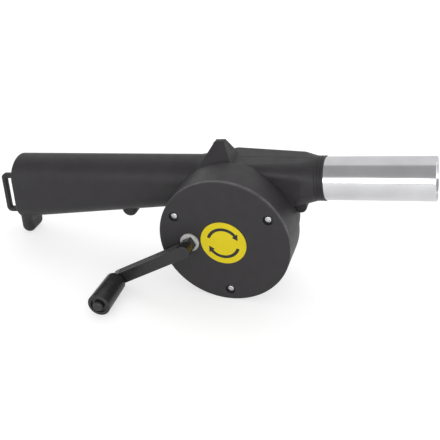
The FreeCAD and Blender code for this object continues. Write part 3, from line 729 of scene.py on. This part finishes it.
# Room and floor: strengths of light, then the room's ramps along a direction's Y or Z
FLOOR_SIZE_M = 8
FLOOR_LIFT = 0.62
FLOOR_GLOW = 0.34
WORLD_LIGHT = 0.60
FRONT_LOW = 1.05
FRONT_HIGH = 0.38
TABLE_EDGE = 0.10
BEHIND = 0.74
FRONT_RAMP = (0.22, 0.04)
HIGH_RAMP = (0.40, 0.52)
EDGE_RAMP = (0.03, 0.08)


def ramp_between(nodes, links, value, low, high):
    node = nodes.new("ShaderNodeMapRange")
    node.interpolation_type = "SMOOTHSTEP"
    node.inputs["From Min"].default_value = low
    node.inputs["From Max"].default_value = high
    links.new(value, node.inputs["Value"])
    return node.outputs["Result"]


def blend_values(nodes, links, share, first, second):
    """first where share is 0 and second where it is 1; each a number or a socket."""
    node = nodes.new("ShaderNodeMix")
    links.new(share, node.inputs["Factor"])
    for key, value in (("A", first), ("B", second)):
        if isinstance(value, (int, float)):
            node.inputs[key].default_value = value
        else:
            links.new(value, node.inputs[key])
    return node.outputs["Result"]


def make_floor():
    """White table that glows for the camera and, less, in reflections."""
    bpy.ops.mesh.primitive_grid_add(x_subdivisions=4, y_subdivisions=4, size=FLOOR_SIZE_M)
    floor = bpy.context.object
    floor.name = "floor"
    material, shader = begin_finish("floor_paint", (0.55, 0.55, 0.55), roughness=0.65)
    nodes = material.node_tree.nodes
    links = material.node_tree.links
    rays = nodes.new("ShaderNodeLightPath")
    mirrored = blend_values(nodes, links, rays.outputs["Is Glossy Ray"], 0.0, FLOOR_GLOW)
    seen = blend_values(nodes, links, rays.outputs["Is Camera Ray"], mirrored, FLOOR_LIFT)
    shader.inputs["Emission Color"].default_value = (1, 1, 1, 1)
    links.new(seen, shader.inputs["Emission Strength"])
    shader.inputs["Specular IOR Level"].default_value = 0.2
    floor.data.materials.append(material)


def make_room():
    """White backdrop, and a soft room that is darker high up in front, as in a photo tent."""
    world = bpy.data.worlds.new("room")
    bpy.context.scene.world = world
    world.use_nodes = True
    nodes = world.node_tree.nodes
    links = world.node_tree.links
    background = nodes["Background"]
    where = nodes.new("ShaderNodeTexCoord")
    axes = nodes.new("ShaderNodeSeparateXYZ")
    links.new(where.outputs["Generated"], axes.inputs["Vector"])
    front = ramp_between(nodes, links, axes.outputs["Y"], *FRONT_RAMP)
    high = ramp_between(nodes, links, axes.outputs["Z"], *HIGH_RAMP)
    ahead = blend_values(nodes, links, high, FRONT_LOW, FRONT_HIGH)
    edge = ramp_between(nodes, links, axes.outputs["Z"], *EDGE_RAMP)
    ahead = blend_values(nodes, links, edge, TABLE_EDGE, ahead)
    around = blend_values(nodes, links, front, BEHIND, ahead)
    rays = nodes.new("ShaderNodeLightPath")
    gloss = blend_values(nodes, links, rays.outputs["Is Glossy Ray"], WORLD_LIGHT, around)
    clear = blend_values(nodes, links, rays.outputs["Is Transmission Ray"], gloss, 1.0)
    seen = blend_values(nodes, links, rays.outputs["Is Camera Ray"], clear, 1.0)
    background.inputs["Color"].default_value = (1, 1, 1, 1)
    links.new(seen, background.inputs["Strength"])


# Softboxes, in metres in the scene
SOFTBOXES = (
    dict(name="front_softbox", spot=(0.15, -1.3, 0.38), size=(1.6, 0.55), watts=6),
    dict(name="back_softbox", spot=(-0.15, 0.75, 1.0), size=(1.6, 1.1), watts=5, mirrored=False),
    dict(name="right_softbox", spot=(0.95, 0.35, 0.30), size=(0.7, 0.6), watts=2.1),
)


def add_softbox(name, spot, size, watts, mirrored=True):
    light = bpy.data.lights.new(name, "AREA")
    light.shape = "RECTANGLE"
    light.size, light.size_y = size
    light.energy = watts
    obj = bpy.data.objects.new(name, light)
    bpy.context.scene.collection.objects.link(obj)
    obj.location = spot
    aim = FAN_ORIGIN - Vector(spot)
    obj.rotation_euler = aim.to_track_quat("-Z", "Y").to_euler()
    obj.visible_glossy = mirrored


# Camera on the fan's own axes; its focal length is in pixels of a picture of that width
CAMERA_SPOT = (136.875, -366.881, 213.193)
CAMERA_RIGHT = (0.94271, 0.29783, -0.15031)
CAMERA_UP = (-0.02254, 0.50640, 0.86200)
FOCAL_PIXELS = 763.24
PICTURE_PIXELS = 440
SENSOR_MM = 36


def make_camera():
    """The photograph's viewpoint, fixed to the fan's own axes."""
    right = direction(*CAMERA_RIGHT)
    up = direction(*CAMERA_UP)
    back = right.cross(up).normalized()
    up = back.cross(right).normalized()
    data = bpy.data.cameras.new("camera")
    data.sensor_width = SENSOR_MM
    data.lens = FOCAL_PIXELS / PICTURE_PIXELS * SENSOR_MM
    data.clip_start = 0.01
    data.clip_end = 50
    camera = bpy.data.objects.new("camera", data)
    bpy.context.scene.collection.objects.link(camera)
    turn = Matrix((right, up, back)).transposed().to_4x4()
    camera.matrix_world = Matrix.Translation(place(*CAMERA_SPOT)) @ turn
    bpy.context.scene.camera = camera


# The fan
def dress_casing():
    dressed("front_shell", "front_shell_moulded", width_mm=0.18)
    dressed("rear_shell", "rear_shell_moulded", width_mm=0.18)
    dressed("strap_loop", "strap_loop_moulded", width_mm=0.7)
    dressed("collar_ring", "collar_ring_moulded", width_mm=0.2)
    dressed("casing_screws", "casing_screws_plated", width_mm=0.12)


def dress_drum():
    """The cover's solid has its own rounded rim, so it gets no bevel."""
    dressed("drum_cover", "drum_cover_moulded", width_mm=0)
    dressed("round_label", "round_label_film", width_mm=0.08)
    dressed("drive_gear", "drive_socket_moulded", width_mm=0.22)
    make_cover_screws()


def print_label():
    """Two turning arrows on the front of the film."""
    low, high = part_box("round_label")
    front = (low.y - FAN_ORIGIN.y) * MM_PER_M
    middle = (low + high) / 2 - FAN_ORIGIN
    centre = (middle.dot(ALONG) * MM_PER_M, middle.dot(UP) * MM_PER_M)
    arrows = [arc_arrow(start_deg, end_deg) for start_deg, end_deg in ARROW_SPANS]
    obj = flat_print("label_turn_arrows", arrows, front, centre, ink)
    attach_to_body(obj, "casing")


def dress_crank():
    dressed("crank_arm", "crank_arm_moulded", width_mm=0.35)
    dressed("crank_grip", "crank_grip_moulded", width_mm=0.25)
    dressed("grip_pin", "grip_pin_head", width_mm=0.12)


def finish_inner_nodes():
    """Gears, axles and the impeller keep their own shape."""
    kept = ("hub_washer", "idler_gear", "idler_axle", "shaft_bush", "shaft_pinion",
            "impeller_shaft", "impeller", "impeller_clip")
    for node in kept:
        obj = frame["nodes"][node]
        obj.data.materials.clear()
        obj.data.materials.append(finish[SLOT_OF[node]])


dress_casing()
dress_drum()
print_label()
make_nozzle_tube()
dress_crank()
finish_inner_nodes()
make_floor()
make_room()
for softbox in SOFTBOXES:
    add_softbox(**softbox)
make_camera()

bpy.context.scene.view_settings.view_transform = "Standard"
